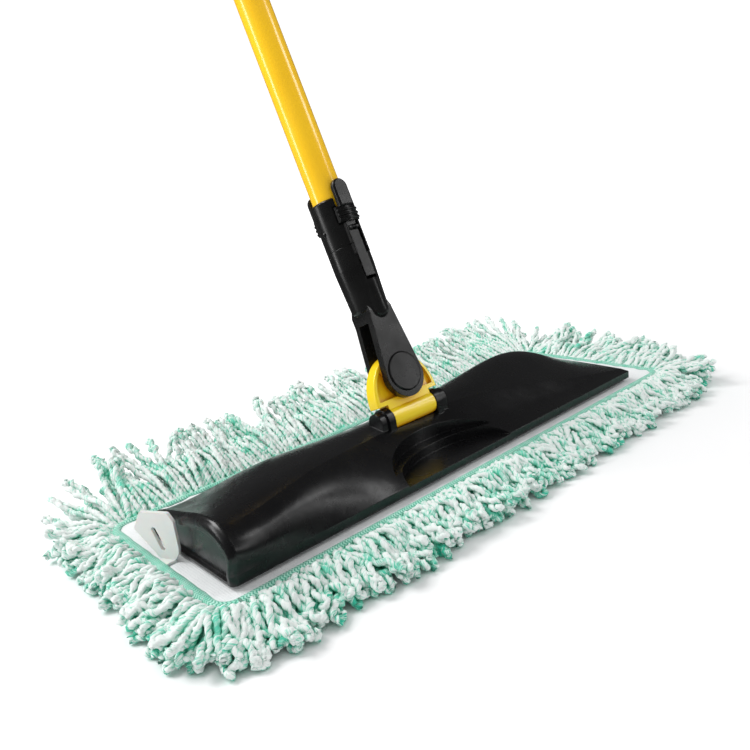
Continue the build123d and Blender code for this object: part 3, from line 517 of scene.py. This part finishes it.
def yarn_piece(name, rows, node):
    """One piece of yarn loops, with the attributes that its material reads."""
    piece = new_piece(name, np.vstack(rows["points"]), np.vstack(rows["faces"]), YARN)
    attributes = piece.data.attributes
    turns = np.vstack(rows["yarn"]).astype(np.float32).ravel()
    attributes.new("yarn", "FLOAT_VECTOR", "POINT").data.foreach_set("vector", turns)
    for key in ("tint", "depth"):
        values = np.concatenate(rows[key]).astype(np.float32)
        attributes.new(key, "FLOAT", "POINT").data.foreach_set("value", values)
    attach(piece, "frame")
    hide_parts(node)
    return piece


def empty_rows():
    return {"points": [], "faces": [], "yarn": [], "tint": [], "depth": [], "count": 0}


def add_strand(rows, line, phase, tint, depth):
    """Sweep one strand along a line and add it to the rows of its piece."""
    line, at = resampled(line, RING_STEP)
    fluff = 1 + FUZZ * rng.standard_normal((len(line), YARN_AROUND))
    fluff *= (1 + KNOB * np.sin(at / KNOB_LENGTH + phase))[:, None]
    points, yarn = yarn_rings(line, at, PLY_PITCH, phase, fluff)
    points[:, 2] = np.maximum(points[:, 2], FLOOR_GAP)
    rows["faces"].append(tube_faces(len(line), YARN_AROUND) + rows["count"])
    rows["points"].append(points)
    rows["yarn"].append(yarn)
    rows["tint"].append(np.full(len(points), tint))
    rows["depth"].append(np.full(len(points), np.clip(depth, 0, 1)))
    rows["count"] += len(points)


def make_fringe():
    rows = {side: empty_rows() for side in SIDES}
    mean = TAPE_WIDTH + 20 * MM
    for number, layer in enumerate(LAYERS):
        outline, normals = rounded_outline(
            SEAM_HALF.x + mean, SEAM_HALF.y + mean, SEAM_CORNER + mean, layer["spacing"]
        )
        clump = smooth_noise(outline, 42 * MM, SEED + number)
        lean = smooth_noise(outline, 50 * MM, SEED + 10 + number)
        lift = smooth_noise(outline, 36 * MM, SEED + 20)
        for k, (point, normal) in enumerate(zip(outline, normals)):
            seam = point - normal * (mean - TAPE_WIDTH + 1.5 * MM)
            angle = math.atan2(normal[1], normal[0]) + 0.26 * lean[k] + rng.normal(0, 0.07)
            out = np.array([math.cos(angle), math.sin(angle)])
            reach = by_side(REACH, normal)
            reach *= min(1.03, layer["reach"] * (0.93 + 0.09 * clump[k] + rng.normal(0, 0.05)))
            reach -= YARN_RADIUS
            back = 0.5 + 0.5 * np.clip(seam[1] / SEAM_HALF.y, -1, 1)
            tip_z = by_side(TIP_HEIGHT, normal) * (0.75 + 0.25 * back) + lift[k] * 4 * MM
            tip_z = layer["tip"] * tip_z + abs(rng.normal(0, 2.0)) * MM + YARN_RADIUS
            near = 1 - by_side({"front": 0.0, "left": 0.1, "right": 0.6, "rear": 1.0}, normal)
            wander = {
                "rise": rng.uniform(0.5, 1.25),
                "fall": rng.uniform(1.0, 1.3) + near * rng.uniform(0.2, 1.0),
                "sway": rng.normal(0, 1.4 + 1.2 * near) * MM,
                "sway_turns": rng.uniform(3.0, 7.0),
                "phase": rng.uniform(0, 6.3),
                "curl": rng.normal(0, 3.0 + 3.0 * near) * MM,
                "open": rng.uniform(0.2, 2.6) * MM,
                "start": rng.uniform(0, 6.3),
                "crimp": rng.uniform(0, 6.3, 3),
            }
            twist = rng.choice([-1, 1]) * math.pi * rng.uniform(0.7, 1.7) * (1 + near)
            root_z = TAPE_HIGH.z - layer["drop"]
            root = np.array([seam[0] + SEAM_MID.x, seam[1] + SEAM_MID.y, root_z])
            line = loop_centreline(root, out, reach, tip_z, layer, twist, wander)
            # The layer's tint, higher in lower layers as painted shade, plus a random share of the
            # yarn's own green.
            tint = layer["tint"] + rng.choice([0.0, 0.1, 0.25, 0.45], p=[0.5, 0.25, 0.17, 0.08])
            # How dark this loop's green is painted as shade.
            depth = layer["depth"] + rng.normal(0, 0.15)
            add_strand(rows[side_of(seam)], line, wander["start"], tint, depth)
    return [yarn_piece(f"fringe_yarn_{side}", rows[side], f"fringe_{side}") for side in SIDES]


def make_pile():
    """Short loops tufted close together under the pad, down to the floor."""
    rows = empty_rows()
    root_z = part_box("pad_pile")[1].z + 1.5 * MM
    half_x, half_y = SEAM_HALF.x - TUFT_INSET, SEAM_HALF.y - TUFT_INSET
    columns, lines = round(2 * half_x / TUFT_PITCH), round(2 * half_y / TUFT_PITCH)
    turn = np.linspace(0, math.pi, TUFT_STEPS)
    for row in range(lines + 1):
        for column in range(columns + 1):
            stagger = 0.5 * (row % 2)
            x = -half_x + 2 * half_x * min(1.0, (column + stagger) / columns)
            y = -half_y + 2 * half_y * row / lines
            x += rng.normal(0, 0.6) * MM + SEAM_MID.x
            y += rng.normal(0, 0.6) * MM + SEAM_MID.y
            facing = rng.uniform(0, math.pi)
            lean_x, lean_y = rng.normal(0, 1.6, 2) * MM
            drop = root_z - YARN_RADIUS - abs(rng.normal(0, 0.7)) * MM
            across = TUFT_WIDTH * np.cos(turn)
            down = np.sin(turn) ** 0.7
            line = np.stack(
                [
                    x + across * math.cos(facing) + lean_x * down,
                    y + across * math.sin(facing) + lean_y * down,
                    root_z - drop * down,
                ],
                axis=1,
            )
            # The pile's green is painted half dark as shade, with a depth of 0.5.
            add_strand(rows, line, rng.uniform(0, 6.3), 0.1 + rng.choice([0.0, 0.3]), 0.5)
    return yarn_piece("pile_loops", rows, "pad_pile")


FRINGES = make_fringe()
make_pile()


# ---- backing, core and binding ---------------------------------------------------------
BACKING_THICKNESS = 1.2 * MM
BACKING_INSET = 0.3 * MM
BACKING_STEP = 2.5 * MM
CORE_INSET = 1.0 * MM
CORE_STEP = 5 * MM
STITCH_PITCH = 2.0 * MM
STITCH_WIDTH = 2.6 * MM
PUCKER_REACH = 5.0 * MM
# The tape's section, out from the seam and up from its foot, in shares of the tape's size.
TAPE_SECTION = [
    (-0.22, 0.87), (-0.12, 0.93), (0.12, 0.985), (0.4, 1.0), (0.68, 0.98),
    (0.9, 0.93), (1.0, 0.82), (1.02, 0.55), (1.0, 0.2), (0.85, 0.04),
    (0.5, 0.0), (0.15, 0.05), (0.05, 0.3), (0.03, 0.7),
]


def slab_piece(name, inset, low_z, high_z, step, relief, material):
    """A closed slab with rounded corners, whose top and bottom follow a relief."""
    half_x, half_y = SEAM_HALF.x - inset, SEAM_HALF.y - inset
    columns, lines = round(2 * half_x / step), round(2 * half_y / step)
    across = np.linspace(-1, 1, columns + 1)
    deep = np.linspace(-1, 1, lines + 1)
    grid = np.array([(a, d) for d in deep for a in across])
    plan = grid * [half_x, half_y]
    corner = SEAM_CORNER - inset
    over = np.maximum(np.abs(plan) - [half_x - corner, half_y - corner], 0)
    length = np.linalg.norm(over, axis=1)
    pull = np.where(length > corner, corner / np.maximum(length, 1e-9), 1.0)
    plan = np.sign(plan) * (np.abs(plan) - over * (1 - pull)[:, None])
    raised = relief(plan)
    centre = np.array([SEAM_MID.x, SEAM_MID.y])
    top = np.column_stack([plan + centre, high_z + raised])
    bottom = np.column_stack([plan + centre, low_z + raised * 0.5])
    count = len(grid)
    width = columns + 1
    faces = []
    for line in range(lines):
        for column in range(columns):
            a = line * width + column
            faces.append((a, a + 1, a + 1 + width, a + width))
            faces.append((count + a, count + a + width, count + a + 1 + width, count + a + 1))
    rim = list(range(width)) + [width * (k + 1) - 1 for k in range(1, lines + 1)]
    rim += [width * lines + k for k in range(columns - 1, -1, -1)]
    rim += [width * k for k in range(lines - 1, 0, -1)]
    for first, second in zip(rim, rim[1:] + rim[:1]):
        faces.append((second, first, count + first, count + second))
    return new_piece(name, np.vstack([top, bottom]), faces, material)


def puckers(plan):
    """Small gathers where the backing is sewn to the tape, none where the frame presses it."""
    edge = np.minimum(SEAM_HALF.x - np.abs(plan[:, 0]), SEAM_HALF.y - np.abs(plan[:, 1]))
    near_seam = np.exp(-np.maximum(edge, 0) / PUCKER_REACH)
    gathers = smooth_noise(plan, 16 * MM, SEED + 40) + 0.6 * smooth_noise(plan, 7 * MM, SEED + 41)
    slack = smooth_noise(plan, 60 * MM, SEED + 42) * np.clip(edge / (10 * MM), 0, 1) * 0.12 * MM
    shell_low, shell_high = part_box("hook_strip_front")[0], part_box("hook_strip_rear")[1]
    inside_x = (plan[:, 0] > shell_low.x) & (plan[:, 0] < shell_high.x)
    inside_y = (plan[:, 1] > shell_low.y) & (plan[:, 1] < shell_high.y)
    free = np.where(inside_x & inside_y, 0.0, 1.0)
    return free * np.minimum(gathers * 0.45 * MM * near_seam + slack, 0.4 * MM) - 0.05 * MM


def lumps(plan):
    return 0.25 * MM * (smooth_noise(plan, 22 * MM, SEED + 50) - 1)


def make_core():
    low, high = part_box("pad_core")
    core = slab_piece("felt_core", CORE_INSET, low.z, high.z, CORE_STEP, lumps, BACKING)
    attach(core, "frame")
    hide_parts("pad_core")
    return core


def make_tape():
    """Knitted tape folded over the edge of the pad, sewn on from above."""
    outline, normals = rounded_outline(SEAM_HALF.x, SEAM_HALF.y, SEAM_CORNER, 1.5 * MM)
    section = np.array(TAPE_SECTION)
    around = len(section)
    count = len(outline)
    height = TAPE_HIGH.z - TAPE_LOW.z
    wobble = smooth_noise(outline, 18 * MM, SEED + 60) * 0.35 * MM
    edge = smooth_noise(outline, 9 * MM, SEED + 61) * 0.25 * MM
    out = section[:, 0][None, :] * TAPE_WIDTH + wobble[:, None] * (section[:, 0] > 0.5)
    out = out + edge[:, None] * (section[:, 0] < 0)
    up = TAPE_LOW.z + section[:, 1][None, :] * height + edge[:, None] * 0.6 * (section[:, 1] > 0.9)
    ring = outline[:, None, :] + out[:, :, None] * normals[:, None, :]
    ring += np.array([SEAM_MID.x, SEAM_MID.y])
    points = np.concatenate([ring, up[:, :, None]], axis=2).reshape(-1, 3)
    tape = new_piece("binding_tape", points, tube_faces(count, around, closed=True), BINDING)
    steps = np.linalg.norm(np.diff(outline, axis=0, append=outline[:1]), axis=1)
    along = np.concatenate([[0], np.cumsum(steps)[:-1]])
    stitches = round(along[-1] / STITCH_PITCH)
    along = along / (along[-1] + steps[-1]) * stitches
    gaps = np.linalg.norm(np.diff(section * [TAPE_WIDTH, height], axis=0), axis=1)
    over = np.concatenate([[0], np.cumsum(gaps)])
    knit = np.zeros((count, around, 3), np.float32)
    knit[:, :, 0] = along[:, None]
    knit[:, :, 1] = over[None, :] / STITCH_WIDTH
    attribute = tape.data.attributes.new("knit", "FLOAT_VECTOR", "POINT")
    attribute.data.foreach_set("vector", knit.ravel())
    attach(tape, "frame")
    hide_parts("pad_binding")
    return tape


def make_backing():
    low_z = TOP - BACKING_THICKNESS
    backing = slab_piece(
        "backing_sheet", BACKING_INSET, low_z, TOP, BACKING_STEP, puckers, BACKING
    )
    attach(backing, "frame")
    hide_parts("pad_backing")
    return backing


CORE = make_core()
TAPE = make_tape()
make_backing()


# ---- floor, light and camera -----------------------------------------------------------
DOME_RADIUS = 8.0
# The floor starts to glow with painted light at the first distance, and glows fully at the second,
# where it reads as plain white paper.
PAPER_FADE = (0.32, 0.9)
PAPER_GLOW = 0.75
# Strength of the white backdrop, of the studio that glossy parts reflect, and of the sky.
BACKDROP = 1.1
STUDIO = 0.075
SKY = 0.6
CAMERA_PLACE = (-0.3735, -0.4014, 0.2403)
CAMERA_TURN = (1.2767, 0.1249, -0.7283)
CAMERA_LENS = 35.31


def glowing(name, strength):
    """Plain emission that the renderer doesn't sample as a lamp."""
    made = bpy.data.materials.new(name)
    made.use_nodes = True
    tree = made.node_tree
    tree.nodes.clear()
    lamp = tree.nodes.new("ShaderNodeEmission")
    lamp.inputs["Strength"].default_value = strength
    output = tree.nodes.new("ShaderNodeOutputMaterial")
    tree.links.new(lamp.outputs[0], output.inputs["Surface"])
    made.cycles.emission_sampling = "NONE"
    return made


def make_dome(name, radius, strength, seen_by):
    """A sphere round the set that only some rays see."""
    bpy.ops.mesh.primitive_uv_sphere_add(segments=48, ring_count=24, radius=radius)
    dome = bpy.context.object
    dome.name = name
    dome.data.materials.append(glowing(name, strength))
    for ray in ("camera", "diffuse", "glossy", "transmission", "volume_scatter", "shadow"):
        setattr(dome, "visible_" + ray, ray == seen_by)


def make_stage():
    """Pale floor that glows with painted light away from the mop, so that it reads as plain white
    paper there.
    """
    paper = Finish("floor_paper", 0.9, Specular_IOR_Level=0.05)
    tone = paper.mix(paper.noise(3.0, 2.0), rgb(0.93, 0.93, 0.94), rgb(0.95, 0.95, 0.955))
    paper.feed("Base Color", tone)
    length = paper.node("VectorMath", [(0, paper.place)], operation="LENGTH")
    # Painted light: the paper emits white light, more the further it lies from the mop.
    paper.shader.inputs["Emission Color"].default_value = rgb(1.0, 1.0, 1.0)
    glow = paper.remap(length.outputs["Value"], *PAPER_FADE, 0.0, PAPER_GLOW)
    paper.feed("Emission Strength", glow)
    paper.material.cycles.emission_sampling = "NONE"
    size = DOME_RADIUS
    corners = [(-size, -size, 0), (size, -size, 0), (size, size, 0), (-size, size, 0)]
    floor = new_piece("floor", corners, [(0, 1, 2, 3)], paper.material, smooth=False)
    floor.visible_glossy = False
    make_dome("backdrop", DOME_RADIUS, BACKDROP, "camera")
    make_dome("dark_studio", DOME_RADIUS * 0.9, STUDIO, "glossy")


def area_light(name, place, target, size, power):
    lamp = bpy.data.lights.new(name, "AREA")
    lamp.shape = "RECTANGLE"
    lamp.size, lamp.size_y = size
    lamp.energy = power
    made = bpy.data.objects.new(name, lamp)
    made.location = place
    made.rotation_euler = (Vector(target) - Vector(place)).to_track_quat("-Z", "Y").to_euler()
    bpy.context.scene.collection.objects.link(made)


def make_lights():
    world = bpy.data.worlds.new("studio")
    bpy.context.scene.world = world
    world.use_nodes = True
    background = world.node_tree.nodes["Background"]
    background.inputs["Color"].default_value = rgb(1.0, 1.0, 1.0)
    background.inputs["Strength"].default_value = SKY
    world.cycles.sampling_method = "NONE"
    middle = (0.0, 0.0, 0.05)
    area_light("key", (-1.0, 1.1, 1.7), middle, (1.0, 1.0), 31)
    area_light("front_right", (1.1, -0.7, 1.3), middle, (0.45, 0.45), 3.2)
    area_light("left_strip", (-1.1, 0.75, 0.5), (-0.02, 0.0, 0.25), (0.22, 1.1), 4.4)
    area_light("right_strip", (1.0, -1.0, 0.5), (0.0, 0.0, 0.2), (0.12, 1.1), 2.6)


def make_camera():
    lens = bpy.data.cameras.new("camera")
    lens.sensor_width = 36.0
    lens.lens = CAMERA_LENS
    made = bpy.data.objects.new("camera", lens)
    made.location = CAMERA_PLACE
    made.rotation_euler = CAMERA_TURN
    bpy.context.scene.collection.objects.link(made)
    bpy.context.scene.camera = made


make_stage()
make_lights()
make_camera()
bpy.context.scene.view_settings.view_transform = "Standard"
